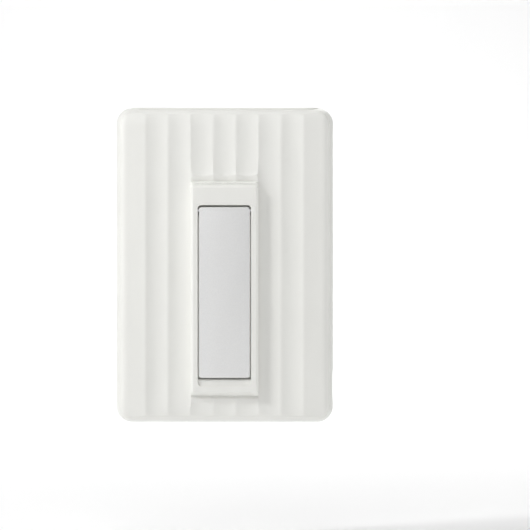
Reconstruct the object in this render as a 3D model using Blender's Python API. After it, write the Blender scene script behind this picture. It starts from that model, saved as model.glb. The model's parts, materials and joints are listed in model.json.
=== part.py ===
"""Magnetic power bank with a fluted back and a fold-out stand, as separate pieces.

Metres, +Z up. The bank stands on its short end: +Z is its long axis, -Y is the fluted back with the
stand, +Y is the face that a phone snaps on to. The origin is under the middle of the bounding box.
Sizes below are in millimetres and turn into metres where the meshes are made.
"""

import math

import bmesh
import bpy
from mathutils import Vector

MM = 0.001

# Body
WIDTH = 71.0
HEIGHT = 103.0
CORNER = 5.2                      # corner radius seen from the back
RIDGE_Y = -5.39                   # the ridges of the flutes
SEAM_Y = 1.36                     # where the two shells meet, at the widest place
FACE_Y = 8.15                     # the front shell's flat face
PAD_Y = 8.25                      # the grip ring stands a little proud of it
SEAM_GAP = 0.2
BACK_ROUND = (3.7, 5.6)           # edge of the back: how far in, how deep
FRONT_ROUND = (5.1, 5.5)          # edge of the front
FIELD_DROP = 0.55                 # the fluted field is this low at its rim
WALL = 1.7

# Flutes
FLUTES = 9
PITCH = 7.38
FLUTE_DEPTH = 0.3
FLUTE_STEPS = 4

# Stand housing on the back
HOUSING_HALF = 11.05
HOUSING_Y = -8.12
HOUSING_Z = (8.3, 82.3)
RECESS_HALF = 8.7
RECESS_Z = (12.1, 71.0)
RECESS_Y = -6.8
RECESS_CORNER = 1.2
NOTCH_TOP = 14.6                  # the finger notch runs up to here

# Stand leg
LEG_HALF = 8.25
LEG_Z = (14.8, 70.3)
LEG_Y = (-8.25, -7.0)             # the leg stands a little proud of the housing
LEG_CORNER = 0.9
HINGE_Y = -7.1
HINGE_Z = 69.2
BARREL_R = 0.98
BARREL_HALF = 8.05
PIN_R = 0.5
PIN_CLEARANCE = 0.08
PIN_HALF = 9.6
POCKET_Z = 67.6                   # the floor drops away behind the hinge
POCKET_Y = -5.35

# Side port and power key
PORT_Z = 12.15
PORT_HOLE = (10.1, 4.4)
PORT_SUNK = 0.35
KEY_Z = 13.45
KEY_HOLE = (12.7, 3.6)
KEY_GAP = 0.2
KEY_TRAVEL = 0.35

# Light panel on the top end
PANEL_HOLE = (62.6, 7.5)
PANEL = (61.6, 6.5)
PANEL_BEVEL = 0.5
PANEL_FLANGE = (65.2, 8.2)         # wider than the hole all round, so nothing shows past the panel
LIGHT_X = [-7.6 + 2.95 * i for i in range(4)]
LIGHT_R = 0.6
ICON_X = 7.7
ICON_R = 1.4
END_BOARD_Z = (96.2, 96.8)
PIPE_Z = (97.5, 98.7)              # the bar that feeds the four lights
FLANGE_Z = (99.0, 99.8)

# Inside
CELL = (30.0, (-3.0, 3.0), (21.3, 94.5))
BOARD_Y = (3.15, 3.95)
BOARD_Z = (2.4, 19.4)
COIL_Z = 55.0
MAGNETS = 12
MAGNET_R = (23.4, 28.0)

for item in list(bpy.data.objects):
    bpy.data.objects.remove(item, do_unlink=True)


# ---------------------------------------------------------------- materials

def material(name, colour, roughness, metallic=0.0):
    made = bpy.data.materials.new(name)
    made.use_nodes = True
    shader = made.node_tree.nodes["Principled BSDF"]
    shader.inputs["Base Color"].default_value = (*colour, 1.0)
    shader.inputs["Roughness"].default_value = roughness
    shader.inputs["Metallic"].default_value = metallic
    made.diffuse_color = (*colour, 1.0)
    return made


WHITE = (0.84, 0.85, 0.81)
INNER = (0.16, 0.16, 0.17)
SILVER = (0.74, 0.74, 0.73)
GREEN = (0.03, 0.17, 0.09)
BLACK = (0.03, 0.03, 0.035)
COPPER = (0.72, 0.33, 0.17)
STEEL = (0.55, 0.56, 0.57)


# ---------------------------------------------------------------- outlines

def rounded(width, height, radius, steps=4):
    """Closed outline of a rectangle with round corners, centred on zero."""
    points = []
    for corner in range(4):
        side_u = 1 if corner in (0, 3) else -1
        side_v = 1 if corner in (0, 1) else -1
        for step in range(steps + 1):
            angle = math.radians(90 * (corner + step / steps))
            points.append((side_u * (width / 2 - radius) + radius * math.cos(angle),
                           side_v * (height / 2 - radius) + radius * math.sin(angle)))
    return points


def stadium(length, width, steps=8):
    return rounded(length, width, width / 2 - 0.001, steps)


def circle(radius, sides=24):
    turn = 2 * math.pi / sides
    return [(radius * math.cos(turn * i), radius * math.sin(turn * i)) for i in range(sides)]


def shifted(outline, u, v):
    return [(a + u, b + v) for a, b in outline]


# ---------------------------------------------------------------- solids

def to_space(axis, u, v, w):
    """A point of an outline, (u, v), at w along the axis that the outline faces."""
    return {"X": (w, u, v), "Y": (u, w, v), "Z": (u, v, w)}[axis]


def solid(name, rings, skin, at=(0, 0, 0)):
    """One closed body through rings of points, capped at both ends. Points are in millimetres."""
    bm = bmesh.new()
    loops = [[bm.verts.new((Vector(p) - Vector(at)) * MM) for p in ring] for ring in rings]
    count = len(loops[0])
    for low, high in zip(loops, loops[1:]):
        for i in range(count):
            j = (i + 1) % count
            bm.faces.new((low[i], low[j], high[j], high[i]))
    bm.faces.new(loops[0])
    bm.faces.new(loops[-1])
    bmesh.ops.recalc_face_normals(bm, faces=bm.faces)
    mesh = bpy.data.meshes.new(name)
    bm.to_mesh(mesh)
    bm.free()
    mesh.shade_smooth()
    mesh.set_sharp_from_angle(angle=math.radians(35))
    if skin:
        mesh.materials.append(skin)
    made = bpy.data.objects.new(name, mesh)
    made.location = Vector(at) * MM
    bpy.context.scene.collection.objects.link(made)
    return made


def prism(name, outline, axis, low, high, skin=None, at=(0, 0, 0)):
    rings = [[to_space(axis, u, v, w) for u, v in outline] for w in (low, high)]
    return solid(name, rings, skin, at)


def block(name, x, y, z, skin=None, at=(0, 0, 0)):
    outline = [(x[0], y[0]), (x[1], y[0]), (x[1], y[1]), (x[0], y[1])]
    return prism(name, outline, "Z", z[0], z[1], skin, at)


def ring_solid(name, outer, inner, axis, low, high, skin):
    """A flat ring with its hole left open: both outlines have the same number of points."""
    bm = bmesh.new()
    rows = [(outer, low), (outer, high), (inner, high), (inner, low)]
    loops = [[bm.verts.new(Vector(to_space(axis, u, v, w)) * MM) for u, v in line] for line, w in rows]
    count = len(outer)
    for k in range(4):
        a, b = loops[k], loops[(k + 1) % 4]
        for i in range(count):
            j = (i + 1) % count
            bm.faces.new((a[i], a[j], b[j], b[i]))
    bmesh.ops.recalc_face_normals(bm, faces=bm.faces)
    mesh = bpy.data.meshes.new(name)
    bm.to_mesh(mesh)
    bm.free()
    mesh.shade_smooth()
    mesh.set_sharp_from_angle(angle=math.radians(35))
    mesh.materials.append(skin)
    made = bpy.data.objects.new(name, mesh)
    bpy.context.scene.collection.objects.link(made)
    return made


def combine(target, tool, operation="DIFFERENCE"):
    """Cuts the tool from the target, or joins it on. The tool itself is only a guide."""
    tool.hide_render = True
    tool.display_type = "WIRE"
    change = target.modifiers.new(tool.name, "BOOLEAN")
    change.operation = operation
    change.solver = "EXACT"
    change.object = tool
    return target


def carry(child, parent):
    child.parent = parent
    child.matrix_parent_inverse = parent.matrix_world.inverted()


# ---------------------------------------------------------------- body form

def body_ring(inset, y):
    radius = max(CORNER - 0.75 * inset, 1.4)
    outline = rounded(WIDTH - 2 * inset, HEIGHT - 2 * inset, radius)
    return [(u, y, v + HEIGHT / 2) for u, v in outline]


def quarter(steps):
    return [math.pi / 2 * i / steps for i in range(steps + 1)]


def back_form():
    """The back half without its flutes: a low dome, a round edge and a short straight side."""
    rings = [body_ring(BACK_ROUND[0] + 3.3, RIDGE_Y), body_ring(BACK_ROUND[0] + 1.5, RIDGE_Y + 0.18)]
    for angle in quarter(5):
        inset = BACK_ROUND[0] * (1 - math.sin(angle))
        depth = FIELD_DROP + BACK_ROUND[1] * (1 - math.cos(angle))
        rings.append(body_ring(inset, RIDGE_Y + depth))
    rings.append(body_ring(0, SEAM_Y - SEAM_GAP / 2))
    return rings


def front_form():
    rings = [body_ring(0, SEAM_Y + SEAM_GAP / 2)]
    for angle in quarter(5):
        inset = FRONT_ROUND[0] * (1 - math.cos(angle))
        rings.append(body_ring(inset, FACE_Y - FRONT_ROUND[1] * (1 - math.sin(angle))))
    return rings


def flute_drop(x):
    """How far the fluted surface lies below the ridges at x."""
    last = (FLUTES / 2 - 1) * PITCH
    if abs(x) <= last:
        across = (x / PITCH + 0.5) % 1.0 - 0.5
        return FLUTE_DEPTH * (1 - 4 * across * across)
    run = (abs(x) - last) / (WIDTH / 2 - BACK_ROUND[0] + 0.3 - last)
    return 0.62 * run + 0.5 * run * (1 - run)


def fluted_block():
    """A bar whose back side carries the flutes, to be met with the body's form."""
    edge = FLUTES / 2 * PITCH
    count = FLUTES * FLUTE_STEPS
    line = [(-edge + 2 * edge * i / count) for i in range(count + 1)]
    back = [(x, RIDGE_Y + flute_drop(x)) for x in line]
    outline = [(-WIDTH, back[0][1]), *back, (WIDTH, back[-1][1]), (WIDTH, 12.0), (-WIDTH, 12.0)]
    return prism("flutes", outline, "Z", -5.0, HEIGHT + 5.0)


def housing():
    """The stand's housing: steep at its foot, a hollow ramp at its top, long edges eased."""
    low, high = HOUSING_Z
    side = [(-4.7, low), (RIDGE_Y - 0.1, low + 0.1), (HOUSING_Y + 0.4, low + 1.1), (HOUSING_Y, low + 1.8)]
    ramp = [(HOUSING_Y, high - 6.2)]
    for step in range(1, 6):
        part = step / 5
        ramp.append((HOUSING_Y + 0.2 + (RIDGE_Y - HOUSING_Y - 0.2) * math.sin(part * math.pi / 2) ** 1.2,
                     high - 5.6 + 5.6 * part ** 1.3))
    form = prism("housing_form", side + ramp + [(-4.7, high)], "X", -HOUSING_HALF, HOUSING_HALF)
    half = HOUSING_HALF
    section = [(-half, -4.2), (-half, HOUSING_Y + 1.0), (-half + 0.25, HOUSING_Y + 0.3),
               (-half + 1.0, HOUSING_Y), (half - 1.0, HOUSING_Y), (half - 0.25, HOUSING_Y + 0.3),
               (half, HOUSING_Y + 1.0), (half, -4.2)]
    long_edges = prism("housing_edges", section, "Z", 0.0, HEIGHT)
    return combine(form, long_edges, "INTERSECT")


def cavity(name, steps):
    """Hollow of a shell, through (y, inset) pairs."""
    return solid(name, [body_ring(inset, y) for y, inset in steps], None)


def side_hole(name, size, z, x):
    outline = shifted(rounded(size[1], size[0], size[1] / 2 - 0.001, 6), SEAM_Y, z)
    return prism(name, outline, "X", min(x), max(x))


def end_hole():
    outline = shifted(stadium(*PANEL_HOLE), 0, SEAM_Y)
    return prism("end_hole", outline, "Z", HEIGHT - 4.0, HEIGHT + 2.0)


# ---------------------------------------------------------------- shells

port_hole = side_hole("port_hole", PORT_HOLE, PORT_Z, (WIDTH / 2 - 3.5, WIDTH / 2 + 1))
key_hole = side_hole("key_hole", KEY_HOLE, KEY_Z, (-WIDTH / 2 - 1, -WIDTH / 2 + 3.5))
panel_hole = end_hole()

shell_white = material("shell_white", WHITE, 0.42)

back_shell = solid("back_shell", back_form(), shell_white)
combine(back_shell, fluted_block(), "INTERSECT")
combine(back_shell, housing(), "UNION")
combine(back_shell, cavity("back_cavity", [
    (RIDGE_Y + 1.9, 4.2), (RIDGE_Y + 2.7, 2.6), (RIDGE_Y + 3.6, 1.9), (SEAM_Y + 1, WALL)]))

recess_outline = rounded(2 * RECESS_HALF, RECESS_Z[1] - NOTCH_TOP + 0.6, RECESS_CORNER, 4)
recess_centre = (RECESS_Z[1] + NOTCH_TOP - 0.6) / 2
combine(back_shell, prism("recess", shifted(recess_outline, 0, recess_centre), "Y", -9.0, RECESS_Y))
notch_side = [(-9.0, RECESS_Z[0]), (HOUSING_Y + 0.35, RECESS_Z[0]), (RECESS_Y - 0.02, NOTCH_TOP),
              (RECESS_Y - 0.02, NOTCH_TOP + 2), (-9.0, NOTCH_TOP + 2)]
combine(back_shell, prism("finger_notch", notch_side, "X", -RECESS_HALF, RECESS_HALF))
combine(back_shell, block("hinge_pocket", (-RECESS_HALF, RECESS_HALF), (-7.4, POCKET_Y),
                          (POCKET_Z, RECESS_Z[1])))
combine(back_shell, block("spring_pocket", (-3.6, 3.6), (-7.4, POCKET_Y), (59.6, POCKET_Z + 1)))
pin_seat = shifted(circle(PIN_R + PIN_CLEARANCE), HINGE_Y, HINGE_Z)
combine(back_shell, prism("pin_seats", pin_seat, "X", -PIN_HALF - 0.2, PIN_HALF + 0.2))
for hole in (port_hole, key_hole, panel_hole):
    combine(back_shell, hole)

front_shell = solid("front_shell", front_form(), material("front_white", WHITE, 0.45))
combine(front_shell, cavity("front_cavity", [
    (SEAM_Y - 1, WALL), (RIDGE_Y + 8.1, WALL), (RIDGE_Y + 10.3, 2.0), (RIDGE_Y + 11.4, 2.9),
    (FACE_Y - 1.35, 4.8)]))
pad_outer, pad_inner = (shifted(circle(r, 48), 0, COIL_Z) for r in (28.6, 22.4))
groove = ring_solid("pad_groove", shifted(circle(28.75, 48), 0, COIL_Z),
                    shifted(circle(22.25, 48), 0, COIL_Z), "Y", FACE_Y - 0.5, FACE_Y + 1, shell_white)
for hole in (groove, port_hole, key_hole, panel_hole):
    combine(front_shell, hole)
ring_solid("grip_ring", pad_outer, pad_inner, "Y", FACE_Y - 0.4, PAD_Y,
           material("grip_grey", (0.72, 0.73, 0.71), 0.75))


# ---------------------------------------------------------------- light panel

panel_white = material("panel_white", (0.78, 0.79, 0.75), 0.35)


def panel_ring(size, z):
    return [(u, v + SEAM_Y, z) for u, v in stadium(*size)]


end_panel = solid("end_panel", [
    panel_ring(PANEL, FLANGE_Z[1] - 0.4), panel_ring(PANEL, HEIGHT - PANEL_BEVEL),
    panel_ring([side - 2 * PANEL_BEVEL for side in PANEL], HEIGHT)], panel_white)
flange = solid("panel_flange", [panel_ring(PANEL_FLANGE, z) for z in FLANGE_Z], None)
combine(end_panel, flange, "UNION")
for number, x in enumerate(LIGHT_X + [ICON_X]):
    radius = (ICON_R if number == 4 else LIGHT_R) + 0.12
    outline = shifted(circle(radius), x, SEAM_Y)
    combine(end_panel, prism(f"lamp_hole_{number}", outline, "Z", HEIGHT - 5, HEIGHT + 1))

lens = material("lens_white", (0.93, 0.93, 0.93), 0.25)
light_pipe = block("light_pipe", (LIGHT_X[0] - 1.4, LIGHT_X[3] + 1.4), (SEAM_Y - 1.1, SEAM_Y + 1.1),
                   PIPE_Z, lens)
for number, x in enumerate(LIGHT_X):
    outline = shifted(circle(LIGHT_R, 16), x, SEAM_Y)
    combine(light_pipe, prism(f"pipe_post_{number}", outline, "Z", PIPE_Z[1] - 0.5, HEIGHT - 0.05), "UNION")
prism("icon_lens", shifted(circle(ICON_R), ICON_X, SEAM_Y), "Z", PIPE_Z[0], HEIGHT - 0.03,
      material("icon_lens_white", (0.82, 0.83, 0.85), 0.3))

board_green = material("board_green", GREEN, 0.5)
block("end_board", (-20, 20), (SEAM_Y - 2.9, SEAM_Y + 2.9), END_BOARD_Z, board_green)
led_body = material("led_body", (0.85, 0.8, 0.5), 0.4)
for number, x in enumerate(LIGHT_X + [ICON_X]):
    name = "charge_led" if number == 4 else f"status_led_{number + 1}"
    block(name, (x - 0.8, x + 0.8), (SEAM_Y - 0.4, SEAM_Y + 0.4),
          (END_BOARD_Z[1] + 0.02, END_BOARD_Z[1] + 0.6), led_body)


# ---------------------------------------------------------------- stand

leg_alloy = material("leg_aluminium", SILVER, 0.38, 0.9)
hinge_at = (0, HINGE_Y, HINGE_Z)
hinge_axis = bpy.data.objects.new("hinge_axis", None)
hinge_axis.location = Vector(hinge_at) * MM
bpy.context.scene.collection.objects.link(hinge_axis)
bpy.context.view_layer.update()


def leg_ring(inset, y):
    outline = rounded(2 * (LEG_HALF - inset), LEG_Z[1] - LEG_Z[0] - 2 * inset, LEG_CORNER)
    return [(u, y, v + sum(LEG_Z) / 2) for u, v in outline]


stand_leg = solid("stand_leg", [leg_ring(0.15, LEG_Y[0]), leg_ring(0, LEG_Y[0] + 0.15),
                                leg_ring(0, LEG_Y[1])], leg_alloy, hinge_at)
barrel_line = shifted(circle(BARREL_R), HINGE_Y, HINGE_Z)
combine(stand_leg, prism("barrel", barrel_line, "X", -BARREL_HALF, BARREL_HALF, None, hinge_at), "UNION")
combine(stand_leg, prism("barrel_bore", pin_seat, "X", -LEG_HALF - 1, LEG_HALF + 1, None, hinge_at))
hinge_pin = prism("hinge_pin", shifted(circle(PIN_R), HINGE_Y, HINGE_Z), "X", -PIN_HALF, PIN_HALF,
                  material("pin_steel", STEEL, 0.25, 1.0), hinge_at)
for piece in (stand_leg, hinge_pin):
    carry(piece, hinge_axis)

spring_steel = material("spring_steel", (0.62, 0.62, 0.6), 0.3, 1.0)
block("friction_spring", (-3.2, 3.2), (-5.95, -5.7), (60.0, 68.9), spring_steel)
screw_steel = material("screw_steel", (0.45, 0.45, 0.46), 0.35, 1.0)
SPRING_SCREWS = (-1.9, 1.9)
for number, x in enumerate(SPRING_SCREWS):
    # The head stands on the spring, clear of the leg
    prism(f"spring_screw_{number + 1}", shifted(circle(0.75, 16), x, 61.6), "Y", -6.4, -6.0, screw_steel)


# ---------------------------------------------------------------- port and key

def side_ring(name, outer, hole, z, x, skin):
    lines = [shifted(rounded(w, l, w / 2 - 0.001, 6), SEAM_Y, z) for l, w in (outer, hole)]
    return ring_solid(name, *lines, "X", min(x), max(x), skin)


side = WIDTH / 2
mouth = side - PORT_SUNK
side_ring("port_bezel", (PORT_HOLE[0] - 0.3, PORT_HOLE[1] - 0.3), (9.24, 3.56), PORT_Z,
          (side - 2.2, mouth), material("bezel_white", (0.7, 0.71, 0.69), 0.45))
usb_shell = side_hole("usb_c_shell", (8.94, 3.26), PORT_Z, (mouth - 7.2, mouth))
usb_shell.data.materials.append(material("port_steel", STEEL, 0.3, 1.0))
combine(usb_shell, side_hole("usb_mouth", (8.34, 2.66), PORT_Z, (mouth - 5.9, mouth + 1)))
block("usb_c_tongue", (mouth - 5.7, mouth - 0.9), (SEAM_Y - 0.35, SEAM_Y + 0.35),
      (PORT_Z - 3.35, PORT_Z + 3.35), material("tongue_black", BLACK, 0.5))

key_face = -side
key_axis = bpy.data.objects.new("key_axis", None)
key_axis.location = Vector((key_face, SEAM_Y, KEY_Z)) * MM
bpy.context.scene.collection.objects.link(key_axis)
bpy.context.view_layer.update()
key_skin = material("key_white", WHITE, 0.4)


def key_ring(grow, x):
    size = [edge - 2 * KEY_GAP + 2 * grow for edge in KEY_HOLE]
    outline = shifted(rounded(size[1], size[0], size[1] / 2 - 0.001, 6), SEAM_Y, KEY_Z)
    return [(x, u, v) for u, v in outline]


power_key = solid("power_key", [key_ring(-0.3, key_face), key_ring(0, key_face + 0.3),
                                key_ring(0, key_face + 1.95), key_ring(0.7, key_face + 1.95),
                                key_ring(0.7, key_face + 2.4)], key_skin,
                  (key_face, SEAM_Y, KEY_Z))
plunger_x = key_face + 2.5
plunger = block("switch_plunger", (plunger_x, plunger_x + 0.6), (SEAM_Y - 0.5, SEAM_Y + 0.5),
                (KEY_Z - 0.8, KEY_Z + 0.8), material("plunger_black", BLACK, 0.5),
                (key_face, SEAM_Y, KEY_Z))
for piece in (power_key, plunger):
    carry(piece, key_axis)
switch_x = plunger_x + 0.6 + KEY_TRAVEL + 0.05
block("tact_switch", (switch_x, switch_x + 2.6), (SEAM_Y - 1.4, BOARD_Y[0] - 0.05),
      (KEY_Z - 2.4, KEY_Z + 2.4), material("switch_steel", STEEL, 0.35, 1.0))


# ---------------------------------------------------------------- power

cell = block("battery_cell", (-CELL[0], CELL[0]), CELL[1], CELL[2],
             material("cell_foil", (0.6, 0.61, 0.63), 0.35, 0.6))
soften = cell.modifiers.new("round_edges", "BEVEL")
soften.width = 1.2 * MM
soften.segments = 2
block("cell_tape", (-24, 24), (RIDGE_Y + 2.0, -3.1), (30, 86), material("tape_black", BLACK, 0.8))
frame_skin = material("frame_dark", INNER, 0.6)
cell_mid = sum(CELL[2]) / 2
cell_long = CELL[2][1] - CELL[2][0]
cell_frame = ring_solid("cell_frame",
                        shifted(rounded(66.6, cell_long + 2.2, 1.5, 3), 0, cell_mid),
                        shifted(rounded(61.0, cell_long + 0.8, 0.9, 3), 0, cell_mid),
                        "Y", -1.0, 2.95, frame_skin)
combine(cell_frame, block("lead_gap", (-12, -3), (-2, 4), (CELL[2][0] - 3, CELL[2][0] + 2)))
block("thermistor", (8, 10.4), (-0.6, 0.6), (CELL[2][0] - 0.3, CELL[2][0] - 0.05),
      material("thermistor_black", BLACK, 0.5))


def lead(name, x, colour):
    """An insulated wire from the cell's tab down to the board's pad."""
    start = Vector((x, 0.8, CELL[2][0] - 0.1))
    end = Vector((x, BOARD_Y[0] - 0.75, BOARD_Z[1] - 2.6))
    bend = Vector((x, 0.4, BOARD_Z[1] - 1.6))
    line = bpy.data.curves.new(name, "CURVE")
    line.dimensions = "3D"
    line.bevel_depth = 0.55 * MM
    line.bevel_resolution = 2
    line.use_fill_caps = True
    spline = line.splines.new("POLY")
    steps = 6
    spline.points.add(steps)
    for i in range(steps + 1):
        t = i / steps
        place = start * (1 - t) ** 2 + bend * 2 * t * (1 - t) + end * t * t
        spline.points[i].co = (*(place * MM), 1)
    line.materials.append(material(f"{name}_skin", colour, 0.45))
    made = bpy.data.objects.new(name, line)
    bpy.context.scene.collection.objects.link(made)


lead("battery_lead_red", -9.5, (0.6, 0.03, 0.03))
lead("battery_lead_black", -5.5, BLACK)


# ---------------------------------------------------------------- electronics

main_board = block("main_board", (-31.3, 31.3), BOARD_Y, BOARD_Z, board_green)
SCREW_X = 23.5
SCREW_Z = 5.0
for number, x in enumerate((-SCREW_X, SCREW_X)):
    hole = shifted(circle(0.95, 16), x, SCREW_Z)
    combine(main_board, prism(f"screw_hole_{number}", hole, "Y", BOARD_Y[0] - 1, BOARD_Y[1] + 1))
    head = prism(f"board_screw_{number + 1}", shifted(circle(1.5, 16), x, SCREW_Z), "Y",
                 BOARD_Y[0] - 0.85, BOARD_Y[0] - 0.1, screw_steel)
    shank = prism(f"shank_{number}", shifted(circle(0.75, 16), x, SCREW_Z), "Y",
                  BOARD_Y[0] - 0.3, BOARD_Y[1] + 1.4)
    combine(head, shank, "UNION")

COMPONENTS = [                    # name, centre x, centre z, width, height off the board, length
    ("power_inductor", 10.0, 10.5, 6.6, 2.8, 6.6, INNER),
    ("power_controller", 1.0, 9.5, 5.0, 0.9, 5.0, BLACK),
    ("wireless_driver", -16.5, 12.0, 6.0, 0.9, 6.0, BLACK),
    ("capacitor_1", 16.8, 14.5, 3.2, 1.8, 1.7, (0.55, 0.4, 0.26)),
    ("capacitor_2", 16.8, 11.0, 3.2, 1.8, 1.7, (0.55, 0.4, 0.26)),
    ("capacitor_3", -24.0, 13.0, 3.2, 1.8, 1.7, (0.55, 0.4, 0.26)),
]
for name, x, z, wide, tall, long, colour in COMPONENTS:
    block(name, (x - wide / 2, x + wide / 2), (BOARD_Y[0] - 0.05 - tall, BOARD_Y[0] - 0.05),
          (z - long / 2, z + long / 2), material(f"{name}_skin", colour, 0.5))

flex_z = (BOARD_Z[1] + 0.2, END_BOARD_Z[0] - 0.1)
flex_line = [(3.3, flex_z[0]), (3.3, flex_z[1] - 0.2), (0.5, flex_z[1] - 0.2), (0.5, flex_z[1]),
             (3.5, flex_z[1]), (3.5, flex_z[0])]
prism("flex_cable", flex_line, "X", 31.0, 33.0, material("flex_amber", (0.55, 0.24, 0.03), 0.4))


# ---------------------------------------------------------------- wireless charging

block("heat_spreader", (-28.5, 28.5), (3.3, 3.6), (24.5, 91.5),
      material("graphite", (0.12, 0.12, 0.13), 0.5, 0.4))
prism("ferrite_sheet", shifted(circle(22.4, 48), 0, COIL_Z), "Y", 3.8, 4.4,
      material("ferrite_grey", (0.1, 0.1, 0.11), 0.6))
ring_solid("charging_coil", shifted(circle(21.2, 48), 0, COIL_Z), shifted(circle(9.5, 48), 0, COIL_Z),
           "Y", 4.55, 5.6, material("coil_copper", COPPER, 0.35, 1.0))
ring_solid("magnet_yoke", shifted(circle(28.2, 48), 0, COIL_Z), shifted(circle(23.2, 48), 0, COIL_Z),
           "Y", 4.3, 4.7, material("yoke_steel", STEEL, 0.4, 1.0))
magnet_skin = material("magnet_nickel", (0.6, 0.6, 0.61), 0.25, 1.0)


def magnet_outline(number, steps=3):
    """An arc of the ring, with a small gap to its neighbours."""
    turn = 2 * math.pi / MAGNETS
    start = turn * number + math.radians(1.0)
    span = turn - math.radians(2.0)
    angles = [start + span * i / steps for i in range(steps + 1)]
    outer = [(MAGNET_R[1] * math.cos(a), MAGNET_R[1] * math.sin(a)) for a in angles]
    inner = [(MAGNET_R[0] * math.cos(a), MAGNET_R[0] * math.sin(a)) for a in reversed(angles)]
    return shifted(outer + inner, 0, COIL_Z)


for number in range(MAGNETS):
    prism(f"magnet_{number + 1:02d}", magnet_outline(number), "Y", 4.85, 6.6, magnet_skin)
block("alignment_magnet", (-3.0, 3.0), (4.85, 6.6), (6.0, 23.5), magnet_skin)
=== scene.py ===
"""The looks of a magnetic power bank with a fluted back and a fold-out stand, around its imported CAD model.

Lengths are in millimetres and turn into metres where the meshes are made. +Z is the bank's long axis,
-Y its fluted back with the stand, +Y the face that a phone snaps on to.
"""

import json
import math

import bmesh
import bpy
from mathutils import Matrix, Vector


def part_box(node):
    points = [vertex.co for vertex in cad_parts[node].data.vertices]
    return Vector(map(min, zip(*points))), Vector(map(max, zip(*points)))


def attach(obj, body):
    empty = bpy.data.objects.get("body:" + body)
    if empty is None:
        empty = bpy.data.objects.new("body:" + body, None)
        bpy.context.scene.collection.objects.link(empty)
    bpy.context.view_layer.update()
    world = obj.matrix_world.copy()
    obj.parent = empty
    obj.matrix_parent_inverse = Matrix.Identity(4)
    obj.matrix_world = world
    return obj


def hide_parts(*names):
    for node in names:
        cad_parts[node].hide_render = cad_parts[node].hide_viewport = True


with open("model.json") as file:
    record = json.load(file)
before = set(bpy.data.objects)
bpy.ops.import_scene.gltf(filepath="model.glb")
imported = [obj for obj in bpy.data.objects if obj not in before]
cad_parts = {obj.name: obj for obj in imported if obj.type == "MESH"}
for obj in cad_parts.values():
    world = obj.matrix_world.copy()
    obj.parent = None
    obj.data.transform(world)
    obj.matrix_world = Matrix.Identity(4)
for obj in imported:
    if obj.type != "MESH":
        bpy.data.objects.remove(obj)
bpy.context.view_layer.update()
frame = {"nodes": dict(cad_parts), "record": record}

MM = 0.001


def span(node):
    """Lowest and highest corner of a CAD node, in millimetres."""
    low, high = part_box(node)
    return Vector(low) / MM, Vector(high) / MM


back_low, back_high = span("back_shell")
front_low, front_high = span("front_shell")
leg_low, leg_high = span("stand_leg")
key_low, key_high = span("power_key")
bezel_low, bezel_high = span("port_bezel")
usb_low, usb_high = span("usb_c_shell")
panel_high = span("end_panel")[1]
grip_low, grip_high = span("grip_ring")
pin_low, pin_high = span("hinge_pin")
spring_low, spring_high = span("friction_spring")

# Body
HALF_W = back_high.x
TOP = panel_high.z
HALF_H = TOP / 2
HOUSING_PROUD = 2.73
HOUSING_Y = back_low.y
RIDGE_Y = HOUSING_Y + HOUSING_PROUD
SEAM_Y = (back_high.y + front_low.y) / 2
SEAM_GAP = 0.06
FACE_Y = front_high.y
CORNER = 5.2
WALL = 1.7
FRONT_ROUND = (5.1, 5.5)      # edge of the front: how far in, how deep
FRONT_WALL = (4.8, 1.35)      # inside of the front's face: inset of its edge, thickness
SEAM_EASE = (0.08, 0.023)     # rounded edge beside the seam: its size, and its middle's offset

# Inner walls of both shells, as (inset, depth below the ridges)
BACK_INSIDE = ((WALL, 4.4), (1.9, 3.6), (2.6, 2.7), (4.2, 1.9))
FRONT_INSIDE = ((2.9, 11.4), (2.0, 10.3), (WALL, 8.1))

# Flutes
RIM = 2.3                     # the fluted field ends about this far in from the outline
PITCH = 7.38
FLUTE_DEPTH = 0.5
FLUTE_AT_RIM = 0.4            # share of their depth that the flutes keep at both ends
LAST_RIDGE = 3.5 * PITCH
LAST_DROP = 0.72              # the outermost flutes lean outwards by this much
LAST_BULGE = 0.35             # they are hollowed by a quarter of this
LAST_TURN = (0.8, 0.26)       # they turn down from this share of their width on, by this much
ROLL = 4.6                    # the flutes bend down over this length at both ends
ROLL_DROP = 0.92
SOFTEN = 0.07                 # half the width of the softened edge around the field
GROOVE = (1.3, 0.17, 0.22)    # fine line around the edge: inset, half width, depth

# Edge of the back, as (inset, depth below the ridges)
BAND_END = (1.05, 2.4)
BAND_SLOPE = 1.16
BEAD = (1.88, 0.2, 0.09)      # raised line beside the groove: inset, half width, height
GROOVE_TOP = 1.62             # from this inset outwards the band has more rows
SIDE_PULL = (0.2, 3.9)
SIDE_END = (0.0, 6.1)

# Stand housing
HOUSING_HALF = 1.5 * PITCH
HOUSING_EDGE = HOUSING_HALF - 0.02
HOUSING_EASE = (0.85, 0.95)   # bevel along its sides: how far in, how deep
EASE_POWER = 1.35             # 1 would be a flat bevel, 2 a round one
LOWER_END = (                 # (z, how proud) up the housing's foot: ramp, crest, valley, wall
    (5.0, 0.0), (6.6, 0.11), (7.95, 0.5), (8.85, 0.1), (10.05, 2.73))
FULL_BEVEL = 1.34             # the bevel is full where the housing is this proud
BEVEL_POWER = 1.5             # and fades by this power below that
FACE_SOFT = 0.14              # softens the turn from both ends to the housing's flat face
PLAIN_FROM = (0.75, 0.5)      # flutes fade where the housing is this proud: start, over how much
UPPER_END = (                 # (z, how proud) up the housing's upper end
    (76.65, 2.73), (77.4, 1.75), (77.72, 1.24), (78.05, 1.5), (78.3, 1.42),     # shoulder, fine line, shelf
    (78.8, 0.2), (81.1, 0.7), (82.2, 0.37), (83.8, 0.14), (86.5, 0.0))          # valley, crest, hollow ramp
SHELF_TOP = 78.75
FINE_LOW = 7.6                # the grid is finer from here up to the face, at the housing's foot
FINE_HIGH = 82.0              # and from the face up to here, at its upper end
SCALLOP = 0.5                 # the crest lies this much lower inside each flute
RECESS_HALF = 8.7
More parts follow.
